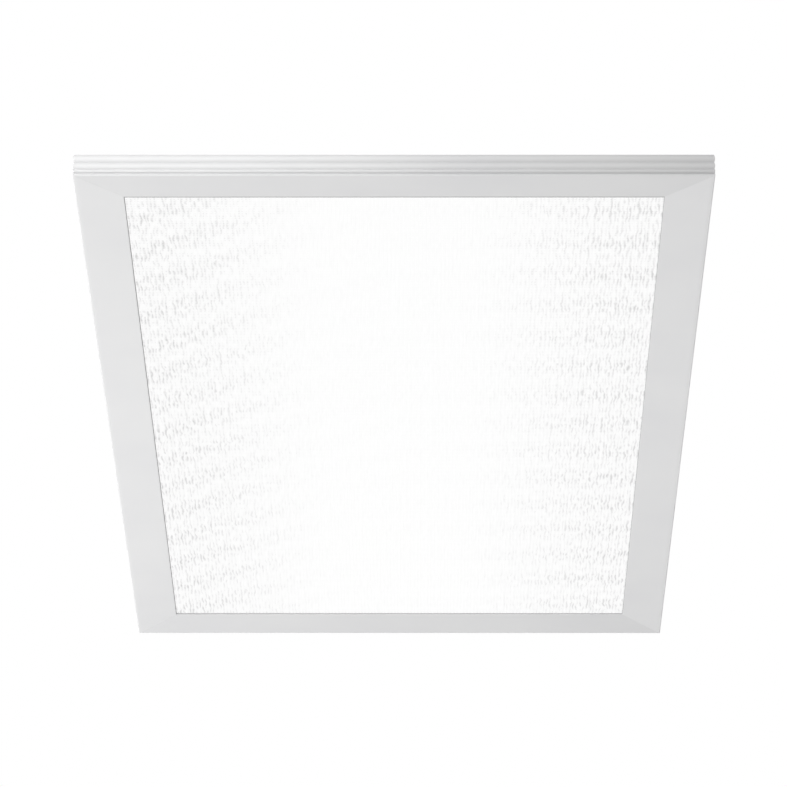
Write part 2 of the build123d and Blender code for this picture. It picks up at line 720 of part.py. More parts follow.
def terminals():
    """A three-pole block with a lever over each supply port."""
    body = block(terminal_x, terminal_y, terminal_z)
    body = chamfer(body.edges().filter_by(Axis.Z), 0.8)
    pivot_y, pivot_z = lever_pivot
    lever_top = pivot_z + lever_hub
    lever_low = lever_top - lever_thickness
    slot_half = lever_width / 2 + lever_gap
    hub_room = lever_hub + lever_room
    for x in pole_xs():
        slot = (x - slot_half, x + slot_half)
        body -= block(slot, (terminal_y[0] - 1, pivot_y), (lever_low - lever_gap, terminal_z[1] + 1))
        hub_span = (pivot_y - hub_room, pivot_y + hub_room)
        body -= block(slot, hub_span, (pivot_z - hub_room, terminal_z[1] + 1))
        body -= rod((x, terminal_y[0] - 1, port_z), (0, 1, 0), port_depth + 1, port_radius)
        back = (x, terminal_y[1] + 1, port_z)
        body -= rod(back, (0, -1, 0), lead_grip + 1.5, input_lead_radius + lead_hole_play)
    axle_start = (terminal_x[0] + 0.5, pivot_y, pivot_z)
    body += rod(axle_start, (1, 0, 0), terminal_x[1] - terminal_x[0] - 1, lever_axle)
    save("terminal_block", body)
    for name, x in zip(("line", "neutral", "earth"), pole_xs()):
        across = (x - lever_width / 2, x + lever_width / 2)
        lever = rod((across[0], pivot_y, pivot_z), (1, 0, 0), lever_width, lever_hub)
        lever += block(across, (lever_tip_y, pivot_y), (lever_low, lever_top))
        lip_y = (lever_tip_y, lever_tip_y + lever_lip[0])
        lever += block(across, lip_y, (lever_low, lever_top + lever_lip[1]))
        bore_start = (across[0] - 1, pivot_y, pivot_z)
        lever -= rod(bore_start, (1, 0, 0), lever_width + 2, lever_axle + running_clearance)
        save(f"lever_{name}", lever)


# ------------------------------------------------------------------ selector switches
def selectors():
    """Two slide switches under the bay cover, each with a knob through the cover's slot."""
    bodies = []
    depth = (selector_y - switch_half[1], selector_y + switch_half[1])
    slider_y = (selector_y - slider_half_width, selector_y + slider_half_width)
    pocket_y = (slider_y[0] - knob_gap, slider_y[1] + knob_gap)
    knob_y = (selector_y - knob_size[1] / 2, selector_y + knob_size[1] / 2)
    knob_top = lid_z[1] + knob_rise
    for name, x in zip(("power", "colour"), selector_x):
        middle = x + knob_travel / 2
        shell = block((middle - switch_half[0], middle + switch_half[0]), depth,
                      (lid_z[0] - switch_depth, lid_z[0]))
        room = (knob_size[0] + knob_travel) / 2 + 1.5
        pocket = block((middle - room, middle + room), pocket_y, (slider_z[0] - knob_gap, lid_z[0] + 1))
        bodies.append(shell - pocket)
        knob_x = (x - knob_size[0] / 2, x + knob_size[0] / 2)
        knob = block((knob_x[0] - 1, knob_x[1] + 1), slider_y, slider_z)
        knob += block(knob_x, knob_y, (slider_z[0], knob_top))
        for step in (-1.0, 0.0, 1.0):
            groove = (x + step - 0.2, x + step + 0.2)
            knob -= block(groove, (knob_y[0] - 1, knob_y[1] + 1), (knob_top - 0.4, knob_top + 0.1))
        save(f"{name}_selector", knob)
    save("selector_switches", *bodies)


# ------------------------------------------------------------------ ceiling fixings
def grid_clips():
    """Four clips that lie along the light and swing out over the ceiling grid."""
    base_z = shelf[1] + sheet + clip_lift
    w, t = clip_half_width, clip_sheet
    across = (-w, w)
    clip = block(across, (0, clip_upright), (base_z, base_z + t)) + post(0, 0, (base_z, base_z + t), w)
    clip += block(across, (clip_upright - t, clip_upright), (base_z, clip_arm_z + t))
    arm = block(across, (clip_upright - t, clip_reach), (clip_arm_z, clip_arm_z + t))
    clip += chamfer(arm.edges().filter_by(Axis.Z).sort_by(Axis.Y)[-2:], clip_corner)
    hook = (-clip_hook[0], clip_hook[0])
    clip += block(hook, (clip_reach - t, clip_reach), (clip_arm_z - clip_hook[1], clip_arm_z + t))
    clip -= post(0, 0, (base_z - 1, base_z + t + 1), rivet_radius + running_clearance)
    head_z = base_z + t + rivet_play
    foot_z = shelf[0] - 0.4
    rivet = post(0, 0, (foot_z, head_z), rivet_radius)
    rivet += post(0, 0, (head_z, head_z + rivet_head[1]), rivet_radius + rivet_head[0])
    rivet += post(0, 0, (foot_z, shelf[1]), rivet_radius + rivet_head[0] / 2)
    rivets = []
    places = [(-1, -1), (1, -1), (1, 1), (-1, 1)]
    for number, (sx, sy) in enumerate(places, start=1):
        turn = 0 if sy < 0 else 180
        place = Location((sx * (half_width - clip_inset), sy * clip_y, 0), (0, 0, turn))
        save(f"grid_clip_{number}", clip.moved(place))
        rivets.append(rivet.moved(place))
    save("clip_rivets", *rivets)


def hangers():
    """Four eyes on the back, for the safety wires."""
    t = clip_sheet
    across = (-hanger_width / 2, hanger_width / 2)
    ear_x = hanger_foot[1]
    top = pan_top + hanger_height
    bracket = block(hanger_foot, across, (pan_top, pan_top + t))
    ear = block((ear_x - t, ear_x), across, (pan_top, top))
    bracket += fillet(ear.edges().filter_by(Axis.X).sort_by(Axis.Z)[-2:], hanger_corner)
    bracket -= rod((ear_x - t - 1, 0, top - hanger_eye_drop), (1, 0, 0), t + 2, hanger_eye)
    bracket -= post(0, 0, (pan_top - 1, pan_top + t + 1), large_hole)
    fixing = screw(3.6, 2.2, 2.0, 5.0)
    brackets, screws = [], []
    for sx in (-1, 1):
        for sy in (-1, 1):
            turn = 0 if sx > 0 else 180
            place = Location((sx * hanger_at[0], sy * hanger_at[1], 0), (0, 0, turn))
            brackets.append(bracket.moved(place))
            screws.append(fixing.moved(place * Location((0, 0, pan_top + t))))
    save("hanger_brackets", *brackets)
    save("hanger_screws", *screws)


os.makedirs("parts", exist_ok=True)
frame()
optical_sheets()
retainers()
back_pan()
reflectors()
light_boards()
driver_box()
bay_cover()
wiring_door()
driver()
leads()
terminals()
selectors()
grid_clips()
hangers()
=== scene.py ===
import math

import bpy
import numpy as np
from mathutils import Matrix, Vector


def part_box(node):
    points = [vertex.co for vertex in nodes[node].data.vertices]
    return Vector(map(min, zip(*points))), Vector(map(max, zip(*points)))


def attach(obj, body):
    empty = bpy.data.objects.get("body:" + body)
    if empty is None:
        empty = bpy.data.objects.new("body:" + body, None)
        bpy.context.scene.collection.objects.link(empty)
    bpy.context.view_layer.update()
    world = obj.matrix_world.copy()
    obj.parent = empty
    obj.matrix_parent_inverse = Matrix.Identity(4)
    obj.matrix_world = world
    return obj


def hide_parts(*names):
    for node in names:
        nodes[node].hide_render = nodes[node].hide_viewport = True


# Recessed troffer light, lit, as it hangs: face down, +Z up, metres. The near end is at -Y.
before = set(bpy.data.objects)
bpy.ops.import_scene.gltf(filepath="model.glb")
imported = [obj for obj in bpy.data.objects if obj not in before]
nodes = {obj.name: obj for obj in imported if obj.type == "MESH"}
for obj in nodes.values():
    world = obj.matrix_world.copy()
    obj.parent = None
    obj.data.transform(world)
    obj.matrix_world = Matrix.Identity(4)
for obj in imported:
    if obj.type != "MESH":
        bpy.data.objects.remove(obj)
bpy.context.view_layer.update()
mm = 0.001  # the sizes in the dictionaries are in millimetres, and the studio's in metres


def toLinear(hexCode):  # an sRGB hex colour as linear light, with alpha 1
    values = [int(hexCode[i:i + 2], 16) / 255 for i in (1, 3, 5)]
    return (*[v / 12.92 if v <= 0.04045 else ((v + 0.055) / 1.055) ** 2.4 for v in values], 1.0)


def addNode(tree, kind, settings=None, links=None):  # one node, its values or options, and what feeds it
    node = tree.nodes.new(kind)
    for key, value in (settings or {}).items():
        if isinstance(key, int) or (key in node.inputs and not hasattr(node, key)):
            node.inputs[key].default_value = value
        else:
            setattr(node, key, value)
    for key, socket in (links or {}).items():
        tree.links.new(socket, node.inputs[key])
    return node


def newMaterial(name, inputs):  # a Principled material with these inputs set, its tree and its shader
    material = bpy.data.materials.new(name)
    material.use_nodes = True
    shader = material.node_tree.nodes["Principled BSDF"]
    for key, value in inputs.items():
        shader.inputs[key].default_value = value
    return material, material.node_tree, shader


def addPiece(name, points, faces, material):  # an array of points and a list of faces, wound outwards
    mesh = bpy.data.meshes.new(name)
    mesh.from_pydata(points.tolist(), [], faces)
    mesh.materials.append(material)
    piece = bpy.data.objects.new(name, mesh)
    bpy.context.scene.collection.objects.link(piece)
    return piece


def stand(thing, right, up, back, place):  # sets up a camera or lamp at its place, turned to three axes
    turn = np.eye(4)
    turn[:3] = np.column_stack([right, up, back, place])
    thing.matrix_world = Matrix(turn)
    bpy.context.scene.collection.objects.link(thing)


def dress(material, *names):  # gives CAD nodes their finish
    for name in names:
        nodes[name].data.materials.clear()
        nodes[name].data.materials.append(material)


# finishes: colour, a second tone that drifts in over toneSize mm, gloss, and a relief of grainSize mm
finishes = {
    # polyester powder coat on extruded aluminium: sprayed and baked, faint orange peel, soft gloss
    "whitePowderCoat": dict(
        colour="#EBEBEB", tone="#E6E6E7", toneSize=160, roughness=0.42, grainSize=2.2, grainDepth=0.012,
        # the ribbed outer wall gets painted shade in its grooves
        valleys=True,
        nodes=("frame_bar_left", "frame_bar_right")),
    # the same coat on the two end bars, a little darker: painted shade on the end bars
    "shadedPowderCoatEnds": dict(
        colour="#E6E6E6", tone="#E1E1E2", toneSize=160, roughness=0.42, grainSize=2.2, grainDepth=0.012,
        # the ribbed outer wall gets painted shade in its grooves
        valleys=True,
        nodes=("frame_bar_near", "frame_bar_far")),
    # coil-coated steel sheet, pressed: smooth white with a slight roller drag and handling marks
    "coilCoatedSteel": dict(
        colour="#E2E2DF", tone="#DADAD6", toneSize=90, roughness=0.36, grainSize=1.4, grainDepth=0.008,
        stretch=(1, 0.12, 1),
        nodes=("back_pan", "lens_retainer_near", "lens_retainer_far", "lens_retainer_left",
               "lens_retainer_right")),
    # folded steel box, painted after folding: a little heavier coat than the pan
    "paintedFoldedSteel": dict(
        colour="#DDDDD9", tone="#D3D3CE", toneSize=60, roughness=0.4, grainSize=1.8, grainDepth=0.014,
        nodes=("driver_box", "box_end_left", "box_end_right", "box_partition", "driver_bay_cover",
               "wiring_door")),
    # zinc-plated steel: bright, slightly blue, cold-headed or punched
    "zincPlatedSteel": dict(
        colour="#B9BCC0", tone="#A3A6A9", toneSize=5, roughness=0.3, metallic=1.0, grainSize=0.6,
        grainDepth=0.006,
        nodes=("corner_screws", "retainer_screws", "pan_screws", "board_screws", "cover_screws",
               "box_screws", "hanger_screws", "hinge_pin", "clip_rivets", "hanger_brackets")),
    # hot-dip galvanised strip, punched and bent: large dull spangles
    "galvanisedStrip": dict(
        colour="#B4B6B7", tone="#A5A8AA", toneSize=7, roughness=0.42, metallic=1.0, grainSize=6,
        grainDepth=0.01, spangle=True,
        nodes=("grid_clip_1", "grid_clip_2", "grid_clip_3", "grid_clip_4")),
    # zinc die casting, left raw: dull grey with a fine grain
    "castZinc": dict(
        colour="#8C8F92", tone="#777A7E", toneSize=9, roughness=0.5, metallic=1.0, grainSize=0.8,
        grainDepth=0.02, nodes=("corner_keys",)),
    # opal polystyrene sheet, extruded: milky, satin
    "opalPolystyrene": dict(
        colour="#EFEFEC", tone="#E9E9E6", toneSize=120, roughness=0.5, grainSize=3, grainDepth=0.004,
        nodes=("diffuser_sheet",)),
    # closed-cell polyethylene foam strip, slit: matt with small open cells on the cut
    "closedCellFoam": dict(
        colour="#DCDCD8", tone="#C8C8C3", toneSize=3, roughness=0.9, grainSize=0.9, grainDepth=0.12,
        nodes=("lens_gaskets",)),
    # foamed white polyester reflector film: dead matt and very white
    "foamedPolyester": dict(
        colour="#F0F0EE", tone="#EAEAE8", toneSize=70, roughness=0.85, grainSize=0.8, grainDepth=0.006,
        nodes=("reflector_near", "reflector_far", "reflector_left", "reflector_right")),
    # white solder mask over an aluminium-backed board: satin with faint flow marks
    "whiteSolderMask": dict(
        colour="#E8E8E2", tone="#DDDDD5", toneSize=14, roughness=0.38, grainSize=1.0, grainDepth=0.005,
        nodes=("led_boards",)),
    # silicone filled with yellow phosphor, dispensed: soft egg-yolk yellow
    "phosphorSilicone": dict(
        colour="#E8C552", tone="#DFB53C", toneSize=2, roughness=0.35, grainSize=0.7, grainDepth=0.02,
        nodes=("led_emitters",)),
    # natural nylon, moulded: warm off-white, waxy
    "naturalNylon": dict(
        colour="#E4DFCF", tone="#DCD6C3", toneSize=8, roughness=0.45, grainSize=0.8, grainDepth=0.006,
        nodes=("board_connectors", "wire_grommet")),
    # white flexible PVC over stranded wire, extruded: smooth with a slight lay of the strands
    "whitePvc": dict(
        colour="#E3E2DE", tone="#D8D7D2", toneSize=6, roughness=0.42, grainSize=0.9, grainDepth=0.01,
        nodes=("jumper_leads", "output_lead")),
    # drawn aluminium housing of the driver: satin, with draw lines along its length
    "drawnAluminium": dict(
        colour="#CFD1D3", tone="#BEC0C2", toneSize=4, roughness=0.36, metallic=1.0, grainSize=0.5,
        grainDepth=0.008, stretch=(0.04, 1, 1), nodes=("driver_base", "driver_cover")),
    # glass-fibre laminate under green solder mask: satin, with the weave just showing
    "greenLaminate": dict(
        colour="#1E5A36", tone="#17482B", toneSize=3, roughness=0.35, grainSize=0.8, grainDepth=0.01,
        nodes=("driver_board",)),
    # sintered ferrite with a taped winding: dark grey and slightly speckled
    "sinteredFerrite": dict(
        colour="#35363A", tone="#27282B", toneSize=1.5, roughness=0.6, grainSize=0.5, grainDepth=0.02,
        nodes=("driver_transformer",)),
    # heat-shrunk PVC sleeve of a capacitor: dark blue-black, glossy
    "shrinkSleeve": dict(
        colour="#1C2230", tone="#161B27", toneSize=6, roughness=0.25, grainSize=1.2, grainDepth=0.006,
        nodes=("driver_capacitors",)),
    # grey polycarbonate, moulded: a fine spark-eroded texture
    "greyPolycarbonate": dict(
        colour="#BFC0BE", tone="#B6B7B5", toneSize=10, roughness=0.4, grainSize=0.5, grainDepth=0.01,
        nodes=("terminal_block",)),
    # orange polyester, moulded: the levers of the supply terminals
    "orangePolyester": dict(
        colour="#E2731C", tone="#D66815", toneSize=7, roughness=0.35, grainSize=0.6, grainDepth=0.006,
        nodes=("lever_line", "lever_neutral", "lever_earth")),
    # green zinc plating of the ground screw: metallic with a dye tint
    "greenPlatedSteel": dict(
        colour="#3F8A52", tone="#327845", toneSize=3, roughness=0.32, metallic=1.0, grainSize=0.6,
        grainDepth=0.006, nodes=("ground_screw",)),
    # black ABS, moulded: fine matt texture on the switches and their knobs
    "blackAbs": dict(
        colour="#1B1B1C", tone="#141415", toneSize=8, roughness=0.45, grainSize=0.6, grainDepth=0.012,
        nodes=("selector_switches", "power_selector", "colour_selector")),
}


# how the slow noise works in every finish
drifting = dict(
    span=(0.3, 0.7),  # of the noise, over which the second tone comes in
    glossSwing=0.04,  # of the roughness, each way
)

# painted shade in the grooves between the ribs of the outer wall, at its top and in the groove above the rim:
# height, half width and share of the colour left
valleys = dict(
    lines=((21.8, 2.8, 0.9), (14.1, 3.3, 0.9), (6.9, 3.0, 0.9), (2.15, 1.2, 0.66)),
    reach=2.4,  # inwards from the bars' outer faces
)


def addValleyShade(tree, tones, place):
    # painted shade: each line fades from its height over its half width, only within reach of the bars' outer
    # faces:
    # colour times 1 - (1 - share) (1 - distance / half width), and distance is counted in height
    split = addNode(tree, "ShaderNodeSeparateXYZ", links={"Vector": place})
    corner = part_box("frame_bar_far")[1]
    atFace = []
    for axis, limit in (("X", corner[0]), ("Y", corner[1])):
        away = addNode(tree, "ShaderNodeMath", {"operation": "ABSOLUTE"}, {0: split.outputs[axis]})
        near = addNode(tree, "ShaderNodeMath",
                       {"operation": "GREATER_THAN", 1: limit - valleys["reach"] * mm}, {0: away.outputs[0]})
        atFace.append(near.outputs[0])
    outer = addNode(tree, "ShaderNodeMath", {"operation": "MAXIMUM"}, {0: atFace[0], 1: atFace[1]})
    colour = tones.outputs["Color"]
    for height, half, share in valleys["lines"]:
        gap = addNode(tree, "ShaderNodeMath", {"operation": "SUBTRACT", 1: height * mm},
                      {0: split.outputs["Z"]})
        distance = addNode(tree, "ShaderNodeMath", {"operation": "ABSOLUTE"}, {0: gap.outputs[0]})
        fade = addNode(tree, "ShaderNodeMapRange",
                       {"From Min": 0.0, "From Max": half * mm, "To Min": 1 - share, "To Max": 0.0},
                       {"Value": distance.outputs[0]})
        depth = addNode(tree, "ShaderNodeMath", {"operation": "MULTIPLY"},
                        {0: fade.outputs["Result"], 1: outer.outputs[0]})
        # sockets 0, 6 and 7 of a colour mix are its factor and its two colours, and socket 2 its result
        mixed = addNode(tree, "ShaderNodeMix", {"data_type": "RGBA", 7: (0, 0, 0, 1)},
                        {0: depth.outputs[0], 6: colour})
        colour = mixed.outputs[2]
    return colour


def makeFinish(name, values):
    # colour: two tones mixed by slow noise; roughness: the same noise over a small range;
    # relief: fine noise. A spangled finish has flat cells of different tone in place of the slow noise
    material, tree, shader = newMaterial(name, {"Metallic": values.get("metallic", 0.0)})
    place = addNode(tree, "ShaderNodeTexCoord").outputs["Object"]
    scaled = addNode(tree, "ShaderNodeMapping", {"Scale": values.get("stretch", (1, 1, 1))},
                     {"Vector": place})
    grainScale = 1 / (values["grainSize"] * mm)
    if values.get("spangle"):
        cells = addNode(tree, "ShaderNodeTexVoronoi", {"Scale": grainScale}, {"Vector": place})
        drift = addNode(tree, "ShaderNodeSeparateColor", links={"Color": cells.outputs["Color"]}).outputs[0]
    else:
        drift = addNode(tree, "ShaderNodeTexNoise", {"Scale": 1 / (values["toneSize"] * mm), "Detail": 3.0},
                        {"Vector": place}).outputs["Fac"]
    tones = addNode(tree, "ShaderNodeValToRGB", links={"Fac": drift})
    for element, position, key in zip(tones.color_ramp.elements, drifting["span"], ("colour", "tone")):
        element.position = position
        element.color = toLinear(values[key])
    gloss = addNode(tree, "ShaderNodeMapRange",
                    {"To Min": values["roughness"] - drifting["glossSwing"],
                     "To Max": values["roughness"] + drifting["glossSwing"]}, {"Value": drift})
    grain = addNode(tree, "ShaderNodeTexNoise", {"Scale": grainScale, "Detail": 2.0},
                    {"Vector": scaled.outputs["Vector"]})
    relief = addNode(tree, "ShaderNodeBump", {"Strength": 1.0, "Distance": values["grainDepth"] * mm},
                     {"Height": grain.outputs["Fac"]})
    tree.links.new(addValleyShade(tree, tones, place) if values.get("valleys") else tones.outputs["Color"],
                   shader.inputs["Base Color"])
    tree.links.new(gloss.outputs["Result"], shader.inputs["Roughness"])
    tree.links.new(relief.outputs["Normal"], shader.inputs["Normal"])
    return material


for name, values in finishes.items():
    dress(makeFinish(name, values), *values["nodes"])
print("finishes on the CAD pieces")


# the clear bars over the strips
optic = dict(
    light="#FFFFFF",
    weakest=0.85,   # of the light, where it shines least
    streakSize=12,  # of the stronger and weaker places
    colour="#EDF1F2", roughness=0.15, ior=1.49,
)


def makeOptic():
    # clear acrylic, moulded: it carries the white light of the emitter under it
    material, tree, shader = newMaterial("clearAcrylicOptic", {
        "Emission Color": toLinear(optic["light"]), "Base Color": toLinear(optic["colour"]),
        "Roughness": optic["roughness"], "IOR": optic["ior"]})
    place = addNode(tree, "ShaderNodeTexCoord").outputs["Object"]
    streaks = addNode(tree, "ShaderNodeTexNoise", {"Scale": 1 / (optic["streakSize"] * mm)},
                      {"Vector": place})
    glow = addNode(tree, "ShaderNodeMapRange", {"To Min": optic["weakest"], "To Max": 1.0},
                   {"Value": streaks.outputs["Fac"]})
    tree.links.new(glow.outputs["Result"], shader.inputs["Emission Strength"])
    return material


dress(makeOptic(), "led_optics")


# the supply leads: black, white and green by their place
leads = dict(
    black="#232325", white="#E3E2DE", green="#2F7B45", roughness=0.42,
    rows=(48, 4),    # the black lead's row, measured along the light, and from one row to the next
    poles=(67, 10),  # its terminal pole, measured across the light, and from one pole to the next
)


def makeLeads():
    # flexible PVC over stranded wire. A lead runs along its row and turns at its pole, so the larger of
    # its row number and its pole number says which of the three it is
    material, tree, shader = newMaterial("threeColourPvc", {"Roughness": leads["roughness"]})
    place = addNode(tree, "ShaderNodeTexCoord").outputs["Object"]
    split = addNode(tree, "ShaderNodeSeparateXYZ", links={"Vector": place})
    numbers = []
    for axis, (first, pitch) in (("Y", leads["rows"]), ("X", leads["poles"])):
        number = addNode(tree, "ShaderNodeMapRange",
                         {"clamp": False, "From Min": first * mm, "From Max": (first + pitch) * mm},
                         {"Value": split.outputs[axis]})
        numbers.append(number.outputs["Result"])
    larger = addNode(tree, "ShaderNodeMath", {"operation": "MAXIMUM"}, {0: numbers[0], 1: numbers[1]})
    # numbers 0, 1 and 2 land in the middles of the ramp's three steps
    step = addNode(tree, "ShaderNodeMath", {"operation": "MULTIPLY_ADD", 1: 1 / 3, 2: 1 / 6},
                   {0: larger.outputs[0]})
    ramp = addNode(tree, "ShaderNodeValToRGB", links={"Fac": step.outputs[0]})
    ramp.color_ramp.interpolation = "CONSTANT"
    ramp.color_ramp.elements[0].color = toLinear(leads["black"])
    ramp.color_ramp.elements[1].position = 1 / 3
    ramp.color_ramp.elements[1].color = toLinear(leads["white"])
    ramp.color_ramp.elements.new(2 / 3).color = toLinear(leads["green"])
    tree.links.new(ramp.outputs["Color"], shader.inputs["Base Color"])
    return material


dress(makeLeads(), "input_leads")
print("leads and optics")


# the prismatic lens: a sheet whose lower face is covered with small pyramids, lit from behind
lens = dict(
    pitch=3.78,               # of the pyramids, measured across the light
    depth=0.55,               # of the pyramids
    opening=(256.5, 554),     # half the opening in the frame
    light="#FFFFFF",
    glow=0.92,                # where nothing darkens it
    streakDark=0.39,          # how much darker the strongest streak is
    middleShare=0.09,         # of that darkness left in the middle of the light
    edgeSpan=(60, 262),       # from the middle: where the darkness begins to grow, and where it is full
    rowPitch=74.5,            # of the rows of light behind
    rowSwing=0.26,            # how much of the darkness comes and goes with the rows, each way
    rowSlant=0.7,             # of the rows on the left half: along the light for each step across
    streakSize=(3.78, 15),    # from one streak to the next, across and along
    wander=1.6,               # of a streak to the side, in streaks
    wanderSize=(2.2, 1.3),    # of the noise that bends the streaks, as multiples of streakSize
    fadeSize=(1.2, 1.0),      # of the noise that fades them, the same way
    fadeSpan=(0.32, 0.7),     # of that noise: where a streak is faintest, and where it is strongest
    faintest=0.07,            # what is left of a streak there
    dustPitch=125,            # from one speck of dust to the next
    speckSize=(0.75, 1.75),   # the radius of a speck's dark core, and of its soft edge
    speckDark=0.12,           # how much darker a speck is
    colour="#0E0E0E", roughness=0.3, ior=1.49,
)


def makeLensMaterial():
    # prismatic acrylic, cast on a cut roll. Towards the long edges it is seen at a slant and the prisms'
    # flanks show as thin dark streaks along the light, strongest at the rows of light behind the sheet.
    # Its light is glow times 1 - darkness; the darkness is streakDark times flank, fading, edge and rows,
    # with the specks added
    material, tree, shader = newMaterial("prismaticAcrylic", {
        "Emission Color": toLinear(lens["light"]), "Base Color": toLinear(lens["colour"]),
        "Roughness": lens["roughness"], "IOR": lens["ior"]})
    place = addNode(tree, "ShaderNodeTexCoord").outputs["Object"]
    split = addNode(tree, "ShaderNodeSeparateXYZ", links={"Vector": place})
    x, y = split.outputs["X"], split.outputs["Y"]
    # edge: grows from the middle of the light to its long edges
    inner, outer = lens["edgeSpan"]
    away = addNode(tree, "ShaderNodeMath", {"operation": "ABSOLUTE"}, {0: x})
    edge = addNode(tree, "ShaderNodeMapRange",
                   {"interpolation_type": "SMOOTHSTEP", "From Min": inner * mm, "From Max": outer * mm,
                    "To Min": lens["middleShare"], "To Max": 1.0}, {"Value": away.outputs[0]})
    # rows: 1 - swing + swing cos(2 pi distance / row pitch). The rows run straight across, but slant on
    # the left half, where the distance is y plus slant times x
    leftHalf = addNode(tree, "ShaderNodeMath", {"operation": "MINIMUM", 1: 0.0}, {0: x})
    distance = addNode(tree, "ShaderNodeMath", {"operation": "MULTIPLY_ADD", 1: lens["rowSlant"]},
                       {0: leftHalf.outputs[0], 2: y})
    angle = addNode(tree, "ShaderNodeMath",
                    {"operation": "MULTIPLY", 1: 2 * math.pi / (lens["rowPitch"] * mm)},
                    {0: distance.outputs[0]})
    wave = addNode(tree, "ShaderNodeMath", {"operation": "COSINE"}, {0: angle.outputs[0]})
    rows = addNode(tree, "ShaderNodeMath",
                   {"operation": "MULTIPLY_ADD", 1: lens["rowSwing"], 2: 1 - lens["rowSwing"]},
                   {0: wave.outputs[0]})
    # streaks: dark lines one prism apart, which wander a little, each fading in and out along its length.
    # The wander and the fading are slow noises, stretched along the light
    across, along = (size * mm for size in lens["streakSize"])
    noises = []
    for width, length in (lens["wanderSize"], lens["fadeSize"]):
        stretched = addNode(tree, "ShaderNodeMapping",
                            {"Scale": (1 / (width * across), 1 / (length * along), 0)}, {"Vector": place})
        noise = addNode(tree, "ShaderNodeTexNoise", {"Scale": 1.0, "Detail": 1.0},
                        {"Vector": stretched.outputs["Vector"]})
        noises.append(noise.outputs["Fac"])
    # flank: goes from 0 to 1 and back over each column, and the columns are x over the streak's width,
    # moved aside by the wander
    straight = addNode(tree, "ShaderNodeMath", {"operation": "DIVIDE", 1: across}, {0: x})
    column = addNode(tree, "ShaderNodeMath", {"operation": "MULTIPLY_ADD", 1: lens["wander"]},
                     {0: noises[0], 2: straight.outputs[0]})
    folded = addNode(tree, "ShaderNodeMath", {"operation": "PINGPONG", 1: 0.5}, {0: column.outputs[0]})
    flank = addNode(tree, "ShaderNodeMath", {"operation": "MULTIPLY", 1: 2.0}, {0: folded.outputs[0]})
    faint, strong = lens["fadeSpan"]
    fading = addNode(tree, "ShaderNodeMapRange",
                     {"interpolation_type": "SMOOTHSTEP", "From Min": faint, "From Max": strong,
                      "To Min": lens["faintest"], "To Max": 1.0}, {"Value": noises[1]})
    # a few specks of dust that lie inside
    dust = addNode(tree, "ShaderNodeTexVoronoi", {"Scale": 1 / (lens["dustPitch"] * mm), "Randomness": 1.0},
                   {"Vector": place})
    core, rim = (radius / lens["dustPitch"] for radius in lens["speckSize"])
    speck = addNode(tree, "ShaderNodeMapRange",
                    {"From Min": core, "From Max": rim, "To Min": lens["speckDark"], "To Max": 0.0},
                    {"Value": dust.outputs["Distance"]})
    shade = flank.outputs[0]
    for factor in (fading, edge, rows):
        shade = addNode(tree, "ShaderNodeMath", {"operation": "MULTIPLY"},
                        {0: shade, 1: factor.outputs[0]}).outputs[0]
    darkness = addNode(tree, "ShaderNodeMath", {"operation": "MULTIPLY_ADD", 1: lens["streakDark"]},
                       {0: shade, 2: speck.outputs["Result"]})
    left = addNode(tree, "ShaderNodeMath", {"operation": "SUBTRACT", 0: 1.0}, {1: darkness.outputs[0]})
    level = addNode(tree, "ShaderNodeMath", {"operation": "MULTIPLY", 1: lens["glow"]}, {0: left.outputs[0]})
    tree.links.new(level.outputs[0], shader.inputs["Emission Strength"])
    return material


square = np.array([[-1, -1], [1, -1], [1, 1], [-1, 1]])  # the corners of a square, in order


def makeLens():
    # The lower face is a grid of square cells over the opening. A cell's corners lie low and its centre
    # is raised by the depth, so each cell is four triangles. A flat rim, upright edges and a flat top
    # close the sheet
    low, high = (np.array(corner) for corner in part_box("prismatic_lens"))
    half = np.array(lens["opening"]) * mm
    count = np.round(2 * half / (lens["pitch"] * mm)).astype(int)
    xs, ys = (np.linspace(-h, h, n + 1) for h, n in zip(half, count))
    cornerX, cornerY = np.meshgrid(xs, ys)
    centreX, centreY = np.meshgrid((xs[1:] + xs[:-1]) / 2, (ys[1:] + ys[:-1]) / 2)
    corners = np.stack([cornerX, cornerY, np.full_like(cornerX, low[2])], axis=-1).reshape(-1, 3)
    centres = np.stack([centreX, centreY, np.full_like(centreX, low[2] + lens["depth"] * mm)], axis=-1)
    outline = np.where(square > 0, high[:2], low[:2])
    lower = np.column_stack([outline, np.full(4, low[2])])
    upper = np.column_stack([outline, np.full(4, high[2])])
    points = np.concatenate([corners, centres.reshape(-1, 3), lower, upper])
    # a cell's corners go round from its first one, and each two of them meet its centre in a triangle
    row = count[0] + 1
    first = (np.arange(count[1])[:, None] * row + np.arange(count[0])[None, :]).ravel()
    around = [first, first + 1, first + row + 1, first + row]
    tips = len(corners) + np.arange(len(first))
    cells = [np.stack([around[(k + 1) % 4], around[k], tips], axis=-1) for k in range(4)]
    faces = np.concatenate(cells).tolist()
    # the rim has one many-sided face from each side of the grid to the outline, and an upright edge there
    bottom = np.arange(row)
    top = bottom + count[1] * row
    left = np.arange(count[1] + 1) * row
    right = left + count[0]
    base = len(corners) + len(first)
    for k, side in enumerate((bottom[::-1], right[::-1], top, left)):
        start, stop = base + k, base + (k + 1) % 4
        faces.append([stop, start, *side[::-1].tolist()])
        faces.append([start, stop, stop + 4, start + 4])
    faces.append([base + 4, base + 5, base + 6, base + 7])
    piece = addPiece("prismSheet", points, faces, makeLensMaterial())
    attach(piece, "root")
    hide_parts("prismatic_lens")


makeLens()
print("prismatic lens")


# a grey strip between the frame and the lens, painted shade: it shows as a thin grey line where the lens edge
# lies in shade
shadeBead = dict(
    left=0.6, right=0.5, near=4.4, far=0.3,  # its width at each side of the opening
    height=0.4,   # below the lens
    overlap=0.1,  # into the lens
    colour="#B4B4B4", roughness=0.5,
)


